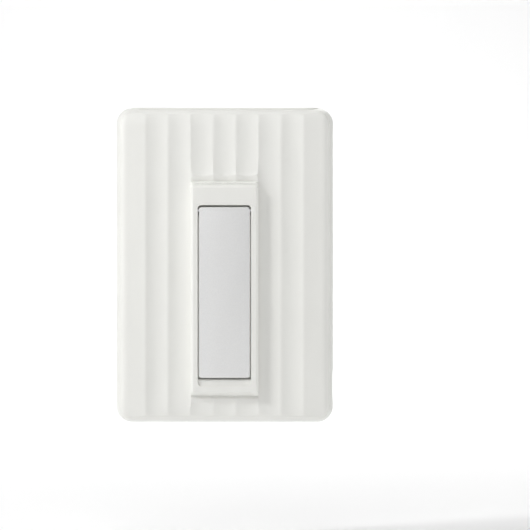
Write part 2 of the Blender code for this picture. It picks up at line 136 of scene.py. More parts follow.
RECESS_Z = (12.1, 71.0)
RECESS_Y = -6.8
RECESS_CORNER = 1.2
NOTCH_TOP = 14.5
NOTCH_LIP = 0.55              # the finger notch starts with a step this deep
MOUTH_EASE = 0.08
FILLET = (0.25, 0.07)         # around the recess's floor: its size, and its middle's offset
CUT_OUT = 0.6                 # cutters reach this far out of the surface
POCKET_Z = 67.6               # behind the hinge the floor drops away, above this
POCKET_Y = -5.35
SPRING_SEAT = (7.4, 9.4)      # seat of the friction spring: width, length
SPRING_SEAT_Z = 64.2
SPRING_SEAT_Y = -5.4
PIN_SEAT = (0.6, 9.9)         # radius, half length
HAIR = 0.01                   # keeps a cutter off another one's faces
TIP_GAP = (1.5, 0.45)         # gap under the leg's tip: length, how far its middle is above the notch
TIP_GAP_Y = -5.1              # the recess is deeper under the leg's tip


# ---------------------------------------------------------------- meshes

def finish_mesh(name, bm, sharp=32):
    """Turns a mesh drawn in millimetres into an object in metres, smooth but for its sharp edges."""
    bmesh.ops.recalc_face_normals(bm, faces=bm.faces)
    mesh = bpy.data.meshes.new(name)
    bm.to_mesh(mesh)
    bm.free()
    mesh.transform(Matrix.Scale(MM, 4))
    made = bpy.data.objects.new(name, mesh)
    bpy.context.scene.collection.objects.link(made)
    return smooth(made, sharp)


def smooth(obj, sharp=32):
    obj.data.shade_smooth()
    obj.data.set_sharp_from_angle(angle=math.radians(sharp))
    return obj


def skin_between(bm, low, high):
    count = len(low)
    for i in range(count):
        j = (i + 1) % count
        bm.faces.new((low[i], low[j], high[j], high[i]))


def loft(name, rings, sharp=32):
    """A closed body through rings of points, capped at both ends."""
    bm = bmesh.new()
    loops = [[bm.verts.new(p) for p in ring] for ring in rings]
    for low, high in zip(loops, loops[1:]):
        skin_between(bm, low, high)
    bm.faces.new(loops[0])
    bm.faces.new(loops[-1])
    return finish_mesh(name, bm, sharp)


def hoop(name, rings, sharp=32):
    """A closed body with a hole: the last ring joins the first."""
    bm = bmesh.new()
    loops = [[bm.verts.new(p) for p in ring] for ring in rings]
    for low, high in zip(loops, loops[1:] + loops[:1]):
        skin_between(bm, low, high)
    return finish_mesh(name, bm, sharp)


def to_space(axis, u, v, w):
    return {"X": (w, u, v), "Y": (u, w, v), "Z": (u, v, w)}[axis]


def level(axis, outline, w):
    return [to_space(axis, u, v, w) for u, v in outline]


def eased_rows(start, end, size):
    """Rows (place, inset) of a body whose two ends are chamfered by size."""
    return [(start, size), (start + size, 0.0), (end - size, 0.0), (end, size)]


def prism(name, outline, axis, low, high, sharp=32):
    return loft(name, [level(axis, outline, low), level(axis, outline, high)], sharp)


def rounded(width, height, radius, steps=10):
    """Closed outline of a rectangle with round corners, centred on zero."""
    points = []
    for corner in range(4):
        side_u = 1 if corner in (0, 3) else -1
        side_v = 1 if corner in (0, 1) else -1
        for step in range(steps + 1):
            angle = math.radians(90 * (corner + step / steps))
            points.append((side_u * (width / 2 - radius) + radius * math.cos(angle),
                           side_v * (height / 2 - radius) + radius * math.sin(angle)))
    return points


def pill(length, width, steps=16):
    return rounded(length, width, width / 2 - 0.0005, steps)


def circle(radius, sides=64):
    turn = 2 * math.pi / sides
    return [(radius * math.cos(turn * i), radius * math.sin(turn * i)) for i in range(sides)]


def shifted(outline, u, v):
    return [(a + u, b + v) for a, b in outline]


def between(low, high, share):
    return low + (high - low) * share


def steps_of(count):
    return [i / count for i in range(count + 1)]


def bake(obj, sharp=32):
    """Applies an object's modifiers to its mesh."""
    bpy.context.view_layer.update()
    shown = obj.evaluated_get(bpy.context.evaluated_depsgraph_get())
    mesh = bpy.data.meshes.new_from_object(shown)
    obj.modifiers.clear()
    obj.data = mesh
    return smooth(obj, sharp)


def combine(target, *tools, operation="DIFFERENCE", sharp=32):
    """Cuts the tools from the target, or joins them on, and removes them."""
    for tool in tools:
        change = target.modifiers.new(tool.name, "BOOLEAN")
        change.operation = operation
        change.solver = "EXACT"
        change.object = tool
    bake(target, sharp)
    for tool in tools:
        bpy.data.objects.remove(tool, do_unlink=True)
    return target


def show(obj, body, slot, skin, *stands_for):
    """Puts a finished piece on its CAD body, in place of the nodes that it stands for."""
    obj.data.materials.clear()
    obj.data.materials.append(skin)
    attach(obj, body)
    if stands_for:
        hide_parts(*stands_for)
    return obj


# ---------------------------------------------------------------- materials

class Nodes:
    """Short hand for building one material's node tree."""

    def __init__(self, name):
        self.made = bpy.data.materials.new(name)
        self.made.use_nodes = True
        self.tree = self.made.node_tree
        self.shader = self.tree.nodes["Principled BSDF"]
        self.place = self.add("ShaderNodeTexCoord").outputs["Object"]

    def add(self, kind, **settings):
        node = self.tree.nodes.new(kind)
        for key, value in settings.items():
            setattr(node, key, value)
        return node

    def link(self, start, end):
        self.tree.links.new(start, end)

    def noise(self, size, detail=3.0, stretch=None):
        """Soft noise whose blotches are about this many millimetres across."""
        node = self.add("ShaderNodeTexNoise")
        node.inputs["Scale"].default_value = 1 / (size * MM)
        node.inputs["Detail"].default_value = detail
        source = self.place
        if stretch:
            scaled = self.add("ShaderNodeMapping")
            scaled.inputs["Scale"].default_value = stretch
            self.link(source, scaled.inputs["Vector"])
            source = scaled.outputs["Vector"]
        self.link(source, node.inputs["Vector"])
        return node.outputs["Fac"]

    def ranged(self, value, low, high):
        """Spreads the values that noise mostly takes over a range."""
        node = self.add("ShaderNodeMapRange")
        node.inputs["From Min"].default_value = 0.3
        node.inputs["From Max"].default_value = 0.7
        node.inputs["To Min"].default_value = low
        node.inputs["To Max"].default_value = high
        self.link(value, node.inputs["Value"])
        return node.outputs["Result"]

    def colour(self, value, dark, light):
        node = self.add("ShaderNodeMix", data_type="RGBA")
        node.inputs["A"].default_value = (*dark, 1)
        node.inputs["B"].default_value = (*light, 1)
        self.link(value, node.inputs["Factor"])
        self.link(node.outputs["Result"], self.shader.inputs["Base Color"])

    def bump(self, value, height, strength=1.0):
        node = self.add("ShaderNodeBump")
        node.inputs["Strength"].default_value = strength
        node.inputs["Distance"].default_value = height * MM
        self.link(value, node.inputs["Height"])
        self.link(node.outputs["Normal"], self.shader.inputs["Normal"])

    def rough(self, value, low, high):
        self.link(self.ranged(value, low, high), self.shader.inputs["Roughness"])


def tinted(colour, factor):
    return tuple(min(1.0, part * factor) for part in colour)


def moulded(name, colour, rough=(0.38, 0.46), grain=0.22, height=0.0035, spread=0.012, specular=0.45):
    """Moulded plastic: spark-eroded grain, faint flow marks in its colour, satin gloss."""
    nodes = Nodes(name)
    nodes.shader.inputs["Specular IOR Level"].default_value = specular
    flow = nodes.ranged(nodes.noise(9.0, 2.0, (1.0, 1.0, 0.35)), 0.0, 1.0)
    nodes.colour(flow, tinted(colour, 1 - spread), tinted(colour, 1 + spread))
    nodes.rough(nodes.noise(1.4, 4.0), *rough)
    nodes.bump(nodes.noise(grain, 2.0), height)
    return nodes.made


def blasted_metal(name, colour, rough=(0.36, 0.46), grain=0.3, height=0.004, metallic=1.0):
    """Bead-blasted and anodised metal: fine sparkle, nearly even colour."""
    nodes = Nodes(name)
    nodes.shader.inputs["Metallic"].default_value = metallic
    speck = nodes.ranged(nodes.noise(0.34, 3.0), 0.0, 1.0)
    nodes.colour(speck, tinted(colour, 0.975), tinted(colour, 1.02))
    nodes.rough(nodes.noise(grain, 2.0), *rough)
    nodes.bump(nodes.noise(grain, 3.0), height)
    return nodes.made


def rolled_metal(name, colour, rough=(0.2, 0.36), stretch=(1.0, 14.0, 14.0), height=0.003):
    """Rolled or drawn sheet metal: fine lines along one direction."""
    nodes = Nodes(name)
    nodes.shader.inputs["Metallic"].default_value = 1.0
    lines = nodes.noise(1.2, 4.0, stretch)
    nodes.colour(nodes.ranged(lines, 0.0, 1.0), tinted(colour, 0.92), tinted(colour, 1.06))
    nodes.rough(lines, *rough)
    nodes.bump(lines, height)
    return nodes.made


def lit(name, colour, glow, strength, roughness=0.3):
    """A lit lens: its light falls off a little over milky spots."""
    nodes = Nodes(name)
    haze = nodes.ranged(nodes.noise(0.5, 2.0), 0.0, 1.0)
    nodes.colour(haze, tinted(colour, 0.97), colour)
    nodes.rough(nodes.noise(0.8, 2.0), roughness - 0.05, roughness + 0.05)
    nodes.bump(nodes.noise(0.3, 2.0), 0.001)
    nodes.shader.inputs["Emission Color"].default_value = (*glow, 1)
    nodes.shader.inputs["Emission Strength"].default_value = strength
    return nodes.made


WHITE = (0.856, 0.855, 0.820)
shell_skin = moulded("shell_polycarbonate", WHITE)
front_skin = moulded("front_polycarbonate", WHITE, (0.4, 0.48))
panel_skin = moulded("panel_polycarbonate", (0.815, 0.814, 0.775), (0.36, 0.42), 0.3, 0.001)
key_skin = moulded("key_polycarbonate", WHITE, (0.34, 0.42))
bezel_skin = moulded("bezel_polycarbonate", (0.70, 0.71, 0.68), (0.4, 0.5))
grip_skin = moulded("grip_silicone", (0.70, 0.71, 0.69), (0.62, 0.74), 0.35, 0.006, 0.02, 0.3)
black_skin = moulded("black_resin", (0.02, 0.02, 0.022), (0.4, 0.55), 0.3, 0.006, 0.1)
leg_skin = blasted_metal("anodised_aluminium", (0.86, 0.86, 0.855), (0.46, 0.56), 0.3, 0.006, 0.6)
pin_skin = rolled_metal("ground_steel", (0.60, 0.60, 0.61), (0.18, 0.3))
spring_skin = rolled_metal("spring_steel", (0.58, 0.57, 0.55), (0.22, 0.38), (14.0, 14.0, 1.0))
screw_skin = blasted_metal("zinc_plated_steel", (0.50, 0.50, 0.51), (0.25, 0.38), 0.2)
port_skin = rolled_metal("drawn_steel", (0.62, 0.62, 0.63), (0.2, 0.34))
gold_skin = blasted_metal("gold_contacts", (0.85, 0.62, 0.25), (0.2, 0.32), 0.2, 0.002)
lamp_skin = lit("lit_white_lens", (0.93, 0.93, 0.93), (1.0, 1.0, 1.0), 0.55)
icon_skin = lit("lit_blue_lens", (0.22, 0.29, 0.95), (0.23, 0.30, 1.0), 0.12)


# ---------------------------------------------------------------- the back's surface

def ease(share):
    share = min(1.0, max(0.0, share))
    return share * share * (3 - 2 * share)


FIELD_HALF_X = HALF_W - RIM
FIELD_HALF_Z = HALF_H - RIM


def flute_depth(x):
    """Depth of the flutes below their ridges across the back; the last one leans outwards."""
    if abs(x) <= LAST_RIDGE:
        return FLUTE_DEPTH * (1 - 4 * across_flute(x) ** 2)
    run = (abs(x) - LAST_RIDGE) / (FIELD_HALF_X - LAST_RIDGE)
    turn = max(0.0, (run - LAST_TURN[0]) / (1 - LAST_TURN[0]))
    return LAST_DROP * run + LAST_BULGE * run * max(0.0, 1 - run) + LAST_TURN[1] * turn ** 2


def roll(z):
    """0 along most of the bank, growing to 1 where the field bends down at both ends."""
    to_rim = FIELD_HALF_Z - abs(z - HALF_H)
    return max(0.0, 1 - to_rim / ROLL)


def soft_min(first, second, width):
    blend = max(0.0, width - abs(first - second)) / width
    return min(first, second) - blend * blend * width / 4


def along(line, z):
    """Height at z on a line of (z, height) points, whose end pieces run on."""
    for (low_z, low), (high_z, high) in zip(line, line[1:]):
        if z < high_z:
            break
    return between(low, high, (z - low_z) / (high_z - low_z))


def across_flute(x):
    """Where x lies across its flute: 0 in the middle, half a unit at the ridges."""
    return (x / PITCH + 0.5) % 1.0 - 0.5


def sagging(x, z):
    """The height at which to read the housing's profile: its crest hangs down inside each flute."""
    return z + SCALLOP * (1 - 4 * across_flute(x) ** 2) * ease(z - SHELF_TOP)


def housing_profile(z):
    """How proud the housing stands along its middle."""
    line = UPPER_END if z > HALF_H else LOWER_END
    return max(0.0, soft_min(along(line, z), HOUSING_PROUD, FACE_SOFT))


def housing_height(x, z):
    """How proud the housing stands, with the bevels along its sides."""
    over = (abs(x) - (HOUSING_EDGE - HOUSING_EASE[0])) / HOUSING_EASE[0]
    if over > 1.0001:
        return 0.0
    full = housing_profile(sagging(x, z))
    drop = HOUSING_EASE[1] * min(1.0, max(0.0, over)) ** EASE_POWER
    return max(0.0, full - drop * min(1.0, full / FULL_BEVEL) ** BEVEL_POWER)


def field_depth(x, z):
    """Depth of the whole back below the ridge plane; negative on the housing."""
    height = housing_height(x, z)
    plain = 0.0
    if abs(x) < HOUSING_HALF - HAIR:
        plain = ease((housing_profile(sagging(x, z)) - PLAIN_FROM[0]) / PLAIN_FROM[1])
    bend = roll(z)
    flutes = flute_depth(x)
    if abs(x) < LAST_RIDGE:
        flutes *= 1 - (1 - FLUTE_AT_RIM) * bend ** 3
    return ROLL_DROP * bend * bend + flutes * (1 - plain) - height


def turning_point(low, high, reached):
    """Where reached() turns true between low and high."""
    for _ in range(30):
        middle = (low + high) / 2
        if reached(middle):
            high = middle
        else:
            low = middle
    return middle


def band_depth(inset):
    """Depth of the body's edge: a bevelled band, then a curve into the side."""
    if inset >= BAND_END[0]:
        groove = GROOVE[2] * math.exp(-((inset - GROOVE[0]) / GROOVE[1]) ** 2)
        bead = BEAD[2] * math.exp(-((inset - BEAD[0]) / BEAD[1]) ** 2)
        return BAND_END[1] - (inset - BAND_END[0]) * BAND_SLOPE + groove - bead
    return side_curve(turning_point(0.0, 1.0, lambda share: side_curve(share)[0] <= inset))[1]


def side_curve(share):
    """The body's side from the end of its band to the seam, as (inset, depth)."""
    rest = 1 - share
    return tuple(BAND_END[i] * rest * rest + 2 * SIDE_PULL[i] * share * rest + SIDE_END[i] * share * share
                 for i in (0, 1))


def sorted_lines(values, closest=0.012):
    lines = []
    for value in sorted(values):
        if not lines or value - lines[-1] > closest:
            lines.append(value)
    return lines


def across_lines():
    """Lines of the surface's grid along X: each flute, and the rounded edges of the housing."""
    half = [PITCH * 0.5 * share for share in steps_of(6)]
    for flute in range(1, 4):
        half += [between((flute - 0.5) * PITCH, (flute + 0.5) * PITCH, s) for s in steps_of(12)]
    half += [between(LAST_RIDGE, FIELD_HALF_X, s) for s in steps_of(16)]
    half += [HOUSING_EDGE - HOUSING_EASE[0] * (1 - math.sin(s * math.pi / 2)) for s in steps_of(8)]
    half.append(HALF_W - CORNER)
    return sorted_lines([-x for x in half] + half)


def along_lines():
    """Lines of the surface's grid along Z: both bent ends, the housing's foot and its ramp."""
    rim = HALF_H - FIELD_HALF_Z
    ends = [rim + ROLL * s * s for s in steps_of(14)] + [CORNER]
    lines = ends + [TOP - z for z in ends]
    foot, ramp_end = LOWER_END[0][0], UPPER_END[-1][0]
    face = (LOWER_END[-1][0] + 0.4, UPPER_END[0][0] - 0.3)
    over_shelf = SHELF_TOP + 0.4
    runs = ((foot, FINE_LOW, 9), (FINE_LOW, face[0], 34), (*RECESS_Z, 14), (face[1], over_shelf, 40),
            (over_shelf, FINE_HIGH, 18), (FINE_HIGH, ramp_end, 12), (ramp_end, TOP - rim - ROLL, 4))
    for start, end, count in runs:
        lines += [between(start, end, s) for s in steps_of(count)]
    return sorted_lines(lines)


def corner_bent(x, z):
    """Moves the grid's square corners on to the field's round corners."""
    centre = Vector((HALF_W - CORNER, HALF_H - CORNER))
    size = CORNER - RIM
    u = (abs(x) - centre.x) / size
    v = (abs(z - HALF_H) - centre.y) / size
    if u <= 0 or v <= 0:
        return x, z
    bent_u = u * math.sqrt(1 - v * v / 2)
    bent_v = v * math.sqrt(1 - u * u / 2)
    return (math.copysign(centre.x + bent_u * size, x),
            HALF_H + math.copysign(centre.y + bent_v * size, z - HALF_H))


def rim_frame(x, z):
    """For a point on the field's edge: its anchor on the inner rectangle, and the way outwards."""
    anchor = Vector((min(max(x, CORNER - HALF_W), HALF_W - CORNER),
                     min(max(z, CORNER), TOP - CORNER)))
    return anchor, (Vector((x, z)) - anchor).normalized()


def at_inset(rim, inset):
    anchor, outward = rim
    return anchor + outward * (CORNER - inset)


def crease_inset(rim):
    """Where the fluted field meets the bevelled band."""
    def field_is_deeper(inset):
        spot = at_inset(rim, inset)
        return field_depth(spot.x, spot.y) > band_depth(inset)

    return turning_point(BAND_END[0] + 0.1, RIM + 1.2, field_is_deeper)


def back_body():
    """The back shell's outside and its plain inside, as one closed body without its openings."""
    bm = bmesh.new()
    xs, zs = across_lines(), along_lines()
    grid = {}
    for i, x in enumerate(xs):
        for j, z in enumerate(zs):
            spot = corner_bent(x, z)
            on_rim = i in (0, len(xs) - 1) or j in (0, len(zs) - 1)
            if on_rim:
                rim = rim_frame(*spot)
                spot = tuple(at_inset(rim, crease_inset(rim) + SOFTEN))
            grid[i, j] = bm.verts.new((spot[0], RIDGE_Y + field_depth(*spot), spot[1]))
    for i in range(len(xs) - 1):
        for j in range(len(zs) - 1):
            bm.faces.new((grid[i, j], grid[i + 1, j], grid[i + 1, j + 1], grid[i, j + 1]))
    last_i, last_j = len(xs) - 1, len(zs) - 1
    keys = ([(i, 0) for i in range(last_i)] + [(last_i, j) for j in range(last_j)]
            + [(i, last_j) for i in range(last_i, 0, -1)] + [(0, j) for j in range(last_j, 0, -1)])
    loop = [grid[key] for key in keys]
    rims = [rim_frame(v.co.x, v.co.z) for v in loop]
    creases = [crease_inset(rim) for rim in rims]
    seam_depth = SEAM_Y - SEAM_GAP / 2 - RIDGE_Y

    def ring(pick):
        made = []
        for rim, crease in zip(rims, creases):
            inset, depth = pick(crease)
            spot = at_inset(rim, inset)
            made.append(bm.verts.new((spot.x, RIDGE_Y + depth, spot.y)))
        return made

    loops = [loop, ring(lambda c: (c, band_depth(c) + 0.035))]
    for share in steps_of(8):
        loops.append(ring(lambda c, s=share: (between(c - SOFTEN, GROOVE_TOP, s),
                                              band_depth(between(c - SOFTEN, GROOVE_TOP, s)))))
    for share in steps_of(9)[1:]:
        loops.append(ring(lambda c, e=between(GROOVE_TOP, BAND_END[0], share): (e, band_depth(e))))
    for share in steps_of(12)[1:]:
        loops.append(ring(lambda c, s=share: side_curve(s)))
    seam_edge = [(0.0, seam_depth - SEAM_EASE[0]), (SEAM_EASE[1], seam_depth - SEAM_EASE[1]),
                 (SEAM_EASE[0], seam_depth), (WALL, seam_depth)]
    for inset, depth in (*seam_edge, *BACK_INSIDE):
        loops.append(ring(lambda c, e=inset, d=depth: (e, d)))
    for low, high in zip(loops, loops[1:]):
        skin_between(bm, low, high)
    bm.faces.new(loops[-1])
    return finish_mesh("back_shell_skin", bm, 40)


def body_outline(inset, steps=16):
    outline = rounded(2 * (HALF_W - inset), 2 * (HALF_H - inset), max(CORNER - inset, 0.6), steps)
    return shifted(outline, 0, HALF_H)


def front_body():
    seam = SEAM_Y + SEAM_GAP / 2
    rows = [(FRONT_WALL[0], FACE_Y - FRONT_WALL[1])]
    rows += [(inset, RIDGE_Y + depth) for inset, depth in FRONT_INSIDE]
    rows += [(WALL, seam), (SEAM_EASE[0], seam), (SEAM_EASE[1], seam + SEAM_EASE[1]),
             (0.0, seam + SEAM_EASE[0])]
    for share in steps_of(18):
        angle = share * math.pi / 2
        rows.append((FRONT_ROUND[0] * (1 - math.cos(angle)), FACE_Y - FRONT_ROUND[1] * (1 - math.sin(angle))))
    return loft("front_shell_skin", [level("Y", body_outline(inset), y) for inset, y in rows])


# ---------------------------------------------------------------- openings

def flared(name, outline_at, axis, deep, surface, out, chamfer):
    """A cutter for a hole with an eased mouth. outline_at gives the hole's outline grown by a length."""
    way = 1 if surface > deep else -1
    rows = [(deep, 0.0), (surface - way * chamfer, 0.0), (surface + way * out, chamfer + out)]
    return loft(name, [level(axis, outline_at(grow), w) for w, grow in rows])


def tall_pill(length, width, z):
    """A pill that runs along Z, seen along X."""
    def outline(grow):
        wide, long = width + 2 * grow, length + 2 * grow
        return shifted(rounded(wide, long, wide / 2 - 0.0005, 16), SEAM_Y, z)
    return outline


def flat_pill(length, width):
    """A pill that runs along X on the top end."""
    def outline(grow):
        return shifted(pill(length + 2 * grow, width + 2 * grow), 0, SEAM_Y)
    return outline


HINGE_Y = (pin_low.y + pin_high.y) / 2
HINGE_Z = (pin_low.z + pin_high.z) / 2
PORT_Z = (bezel_low.z + bezel_high.z) / 2
PORT_HOLE = (bezel_high.z - bezel_low.z + 0.3, bezel_high.y - bezel_low.y + 0.3)
KEY_Z = (key_low.z + key_high.z) / 2
KEY_HOLE = (12.7, 3.6)
PANEL_HOLE = (62.6, 7.5)
EDGE_EASE = 0.16
SIDE_HOLE_DEEP = 3.4
PANEL_DEEP = 4.0
PANEL_MOUTH = (0.25, 0.1)      # how far below the top the mouth's edge starts, and its easing

port_outline = tall_pill(*PORT_HOLE, PORT_Z)
key_outline = tall_pill(*KEY_HOLE, KEY_Z)
panel_outline = flat_pill(*PANEL_HOLE)


def opening_cutters():
    side_deep = HALF_W - SIDE_HOLE_DEEP
    mouth_z, mouth_ease = TOP - PANEL_MOUTH[0], PANEL_MOUTH[1]
    return [flared("port_cut", port_outline, "X", side_deep, HALF_W, 0.5, EDGE_EASE),
            flared("key_cut", key_outline, "X", -side_deep, -HALF_W, 0.5, EDGE_EASE),
            flared("panel_cut", panel_outline, "Z", TOP - PANEL_DEEP, mouth_z, 0.8, mouth_ease)]


def recess_cutter():
    """The leg's recess: eased mouth, rounded floor, and a finger notch that slopes in under the leg's tip."""
    size = (2 * RECESS_HALF, RECESS_Z[1] - RECESS_Z[0])
    middle = sum(RECESS_Z) / 2

    def outline(grow):
        return shifted(rounded(size[0] + 2 * grow, size[1] + 2 * grow, RECESS_CORNER + grow), 0, middle)

    rows = [(HOUSING_Y - CUT_OUT, CUT_OUT + MOUTH_EASE), (HOUSING_Y + MOUTH_EASE, 0.0),
            (RECESS_Y - FILLET[0], 0.0), (RECESS_Y - FILLET[1], -FILLET[1]), (RECESS_Y, -FILLET[0])]
    cutter = loft("recess_cut", [level("Y", outline(grow), y) for y, grow in rows])
    lip = HOUSING_Y + NOTCH_LIP
    slope = [(lip, RECESS_Z[0] - 1.0), (lip, RECESS_Z[0]),
             (RECESS_Y - 0.15, NOTCH_TOP), (RECESS_Y + 1, NOTCH_TOP), (RECESS_Y + 1, RECESS_Z[0] - 1.0)]
    return combine(cutter, prism("notch_floor", slope, "X", -RECESS_HALF - 1, RECESS_HALF + 1))


def pocket_cutters():
    """What lies deeper than the recess: its ends, and the seats of the spring and the pin."""
    wide = 2 * RECESS_HALF - 2 * HAIR
    pocket = shifted(rounded(wide, RECESS_Z[1] - POCKET_Z, 0.5, 4), 0, (RECESS_Z[1] - HAIR + POCKET_Z) / 2)
    tip = shifted(rounded(wide, TIP_GAP[0], 0.3, 4), 0, NOTCH_TOP + TIP_GAP[1])
    seat = shifted(rounded(*SPRING_SEAT, 0.6, 4), 0, SPRING_SEAT_Z)
    pin_seat = shifted(circle(PIN_SEAT[0], 32), HINGE_Y, HINGE_Z)
    return [prism("hinge_pocket", pocket, "Y", RECESS_Y - 0.5, POCKET_Y),
            prism("tip_gap", tip, "Y", RECESS_Y - 0.9, TIP_GAP_Y),
            prism("spring_pocket", seat, "Y", RECESS_Y - 0.4, SPRING_SEAT_Y),
            prism("pin_seat", pin_seat, "X", -PIN_SEAT[1], PIN_SEAT[1])]


# ---------------------------------------------------------------- shells

back = combine(back_body(), recess_cutter(), sharp=28)
combine(back, *pocket_cutters(), sharp=28)
combine(back, *opening_cutters(), sharp=28)
show(back, "bank", "shell_white", shell_skin, "back_shell")

COIL_Z = (grip_low.z + grip_high.z) / 2
GRIP_R = (grip_high.x, grip_high.x - 6.2)
GRIP_GAP = 0.08
GRIP_GROOVE = 0.45             # depth of the ring's groove in the face
PAD_FOOT = 0.4                 # how deep the ring sits in it


def grip_ring(name, outer, inner, rows):
    """A flat ring on the phone face. rows are (y, how far both edges draw in)."""
    outside = [level("Y", shifted(circle(outer - e, 128), 0, COIL_Z), y) for y, e in rows]
    inside = [level("Y", shifted(circle(inner + e, 128), 0, COIL_Z), y) for y, e in reversed(rows)]
    return hoop(name, outside + inside)


groove = grip_ring("grip_groove", GRIP_R[0] + GRIP_GAP, GRIP_R[1] - GRIP_GAP,
                   [(FACE_Y - GRIP_GROOVE, 0), (FACE_Y + 1, 0)])
front = combine(front_body(), groove, sharp=28)
combine(front, *opening_cutters(), sharp=28)
show(front, "bank", "shell_white", front_skin, "front_shell")

pad_y = grip_high.y
grip = grip_ring("grip_ring_skin", *GRIP_R,
                 [(FACE_Y - PAD_FOOT, 0), (pad_y - 0.1, 0), (pad_y - 0.03, 0.03), (pad_y, 0.12)])
show(grip, "bank", "grip_silicone", grip_skin, "grip_ring")


# ---------------------------------------------------------------- light panel on the top end

PANEL = (61.6, 6.5)
PANEL_SLOPE = (0.55, 0.07)     # the sloped rim is this wide along the middle, and at the ends
PANEL_TAPER = 6.6
PANEL_FACE = TOP - 0.02
PANEL_FIT = 0.03               # gap to the shells all around
PANEL_UNDER = TOP - 3.8
# Rounded rim, as (depth below the face, share of the rim's width that it lies in)
PANEL_RIM = ((0.62, 0.0), (0.55, 0.08), (0.13, 0.76), (0.065, 0.88), (0.02, 1.0), (0.0, 1.16))
FLANGE = (65.2, 8.2)
FLANGE_Z = (TOP - 4.0, TOP - 3.2)
LEDGE_Z = (TOP - 3.6, TOP - 0.6)     # ledge that closes the gap around the panel
LIGHT_X = [-7.6 + 2.95 * i for i in range(4)]
LIGHT_R = 0.6
LIGHT_GAP = 0.03
ICON_X = 7.7


def panel_points():
    """The panel's outline with points along its straight edges, where its rim's width changes."""
    half = (PANEL[0] - PANEL[1]) / 2
    radius = PANEL[1] / 2
    runs = [between(-half, half, s) for s in steps_of(60)]
    points = [(x, -radius, 0, -1) for x in runs]
    points += [(half + radius * math.sin(a), -radius * math.cos(a), math.sin(a), -math.cos(a))
               for a in (math.pi * s for s in steps_of(32)[1:-1])]
    points += [(-x, radius, 0, 1) for x in runs]
    points += [(-half - radius * math.sin(a), radius * math.cos(a), -math.sin(a), math.cos(a))
               for a in (math.pi * s for s in steps_of(32)[1:-1])]
    return points


def panel_row(z, draw):
    """draw is the share of the rim's width that this row lies in from the panel's outline."""
    row = []
    half = (PANEL[0] - PANEL[1]) / 2
    for x, y, away_x, away_y in panel_points():
        wide = between(*PANEL_SLOPE, ease((abs(x) - (half - PANEL_TAPER)) / PANEL_TAPER))
        inset = wide * draw
        row.append((x - away_x * inset, SEAM_Y + y - away_y * inset, z))
    return row


panel_rows = [panel_row(PANEL_UNDER, 0.0)] + [panel_row(PANEL_FACE - deep, draw) for deep, draw in PANEL_RIM]
panel = loft("end_panel_skin", panel_rows, 26)
flange = prism("panel_flange", flat_pill(*FLANGE)(0.0), "Z", *FLANGE_Z)
ledge = prism("panel_ledge", flat_pill(*PANEL_HOLE)(-PANEL_FIT), "Z", *LEDGE_Z)
combine(panel, flange, ledge, operation="UNION", sharp=20)
lamp_holes = [prism(f"lamp_hole_{i}", shifted(circle(LIGHT_R + LIGHT_GAP, 40), x, SEAM_Y), "Z",
                    TOP - 1.6, TOP + 1)
              for i, x in enumerate(LIGHT_X)]
combine(panel, *lamp_holes, sharp=20)
show(panel, "bank", "panel_white", panel_skin, "end_panel")

for i, x in enumerate(LIGHT_X):
    rows = [(TOP - 1.5, 0.0), (PANEL_FACE - 0.06, 0.0), (PANEL_FACE - 0.015, 0.05), (PANEL_FACE, 0.14)]
    lens = loft(f"status_light_{i + 1}", [level("Z", shifted(circle(LIGHT_R - e, 40), x, SEAM_Y), z)
                                          for z, e in rows])
    show(lens, "bank", "lens_clear", lamp_skin)
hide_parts("light_pipe")

ICON_RING = (1.375, 0.985)     # outer and inner radius
ICON_LIFT = 0.015
ICON_Z = (PANEL_FACE - 0.2, PANEL_FACE + ICON_LIFT)
icon_ring = hoop("charge_icon_ring", (
    [level("Z", shifted(circle(ICON_RING[0]), ICON_X, SEAM_Y), z) for z in ICON_Z]
    + [level("Z", shifted(circle(ICON_RING[1]), ICON_X, SEAM_Y), z) for z in reversed(ICON_Z)]))
show(icon_ring, "bank", "lens_clear", icon_skin, "icon_lens")
# A generic lightning sign
BOLT = [(0.17, 0.90), (-0.62, -0.14), (-0.13, -0.18), (-0.17, -0.90), (0.62, 0.14), (0.13, 0.18)]
bolt = prism("charge_icon_bolt", shifted(BOLT, ICON_X, SEAM_Y), "Z", *ICON_Z)
show(bolt, "bank", "lens_clear", icon_skin)


# ---------------------------------------------------------------- stand

LEG_CORNER = 0.9
LEG_BACK_Y = -7.0
LEG_Y = leg_low.y + 0.005
RELIEF = (11.5, 44.0)          # shallow hollow in the leg's hidden face: width, length
RELIEF_CORNER = 1.6
RELIEF_Z = 41.0
BORE_R = 0.56
PIN_R = 0.5
BARREL_R = leg_high.y - HINGE_Y


def leg_outline(inset):
    wide = leg_high.x - leg_low.x - 2 * inset
    long = leg_high.z - leg_low.z - 2 * inset
    return shifted(rounded(wide, long, LEG_CORNER - inset * 0.6), 0, (leg_low.z + leg_high.z) / 2)


def relief_outline(grow):
    outline = rounded(RELIEF[0] + 2 * grow, RELIEF[1] + 2 * grow, RELIEF_CORNER + grow)
    return shifted(outline, 0, RELIEF_Z)


